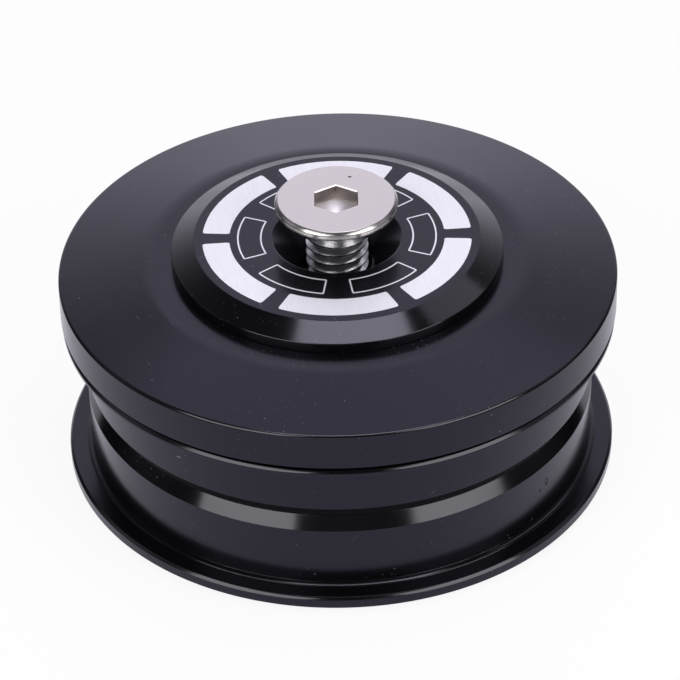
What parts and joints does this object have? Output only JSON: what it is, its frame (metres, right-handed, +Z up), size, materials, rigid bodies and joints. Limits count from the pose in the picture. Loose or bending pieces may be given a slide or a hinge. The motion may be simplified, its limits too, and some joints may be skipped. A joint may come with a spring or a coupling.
{
  "type": "bicycle headset",
  "caption": "Semi-integrated bicycle headset: press-in upper and lower cups with cartridge bearings, dust cover, crown race, split ring, top cap, countersunk bolt and star nut.",
  "frame": {"origin": "on the steering axis, at the underside of the crown race", "axes": "+Z up the steering axis, -Y towards the viewer of the picture"},
  "size_m": [0.054, 0.054, 0.029],
  "materials": {
    "black_anodised": "satin black anodised",
    "bearing_steel": "ground bearing steel",
    "ball_steel": "polished",
    "cage_nylon": "moulded",
    "shield_rubber": "moulded rubber",
    "seal_rubber": "moulded rubber",
    "zinc_steel": "bright zinc plate",
    "ring_aluminium": "turned",
    "bolt_steel": "satin nickel plate"
  },
  "bodies": {
    "cups": {"lower_cup": "black_anodised", "upper_cup": "black_anodised", "upper_outer_race": "bearing_steel", "lower_outer_race": "bearing_steel", "upper_top_shield": "shield_rubber", "upper_bottom_shield": "shield_rubber", "lower_top_shield": "shield_rubber", "lower_bottom_shield": "shield_rubber"},
    "steering_group": {"dust_cover": "black_anodised", "cover_o_ring": "seal_rubber", "cover_wiper": "seal_rubber", "compression_ring": "ring_aluminium", "upper_inner_race": "bearing_steel", "top_cap": "black_anodised", "star_nut_core": "zinc_steel", "star_nut_upper_leaves": "zinc_steel", "star_nut_lower_leaves": "zinc_steel"},
    "bolt": {"top_cap_bolt": "bolt_steel"},
    "crown_group": {"crown_race": "bearing_steel", "crown_seal": "seal_rubber", "lower_inner_race": "bearing_steel"},
    "upper_cage": {"upper_balls": "ball_steel", "upper_ball_cage": "cage_nylon"},
    "lower_cage": {"lower_balls": "ball_steel", "lower_ball_cage": "cage_nylon"}
  },
  "joints": [
    {"name": "upper_turn", "type": "hinge", "parent": "cups", "child": "steering_group", "pos_m": [0, 0, 0.01375], "axis": [0, 0, 1], "continuous": true},
    {"name": "lower_turn", "type": "hinge", "parent": "cups", "child": "crown_group", "pos_m": [0, 0, 0.00545], "axis": [0, 0, 1], "continuous": true},
    {"name": "upper_cage_turn", "type": "hinge", "parent": "cups", "child": "upper_cage", "pos_m": [0, 0, 0.01375], "axis": [0, 0, 1], "continuous": true},
    {"name": "lower_cage_turn", "type": "hinge", "parent": "cups", "child": "lower_cage", "pos_m": [0, 0, 0.00545], "axis": [0, 0, 1], "continuous": true},
    {"name": "bolt_travel", "type": "slide", "parent": "steering_group", "child": "bolt", "axis": [0, 0, 1], "range_m": [-0.00365, 0.008]}
  ],
  "couplings": [
    {"joint": "upper_cage_turn", "follows": "upper_turn", "ratio": 0.469},
    {"joint": "lower_cage_turn", "follows": "lower_turn", "ratio": 0.469}
  ]
}
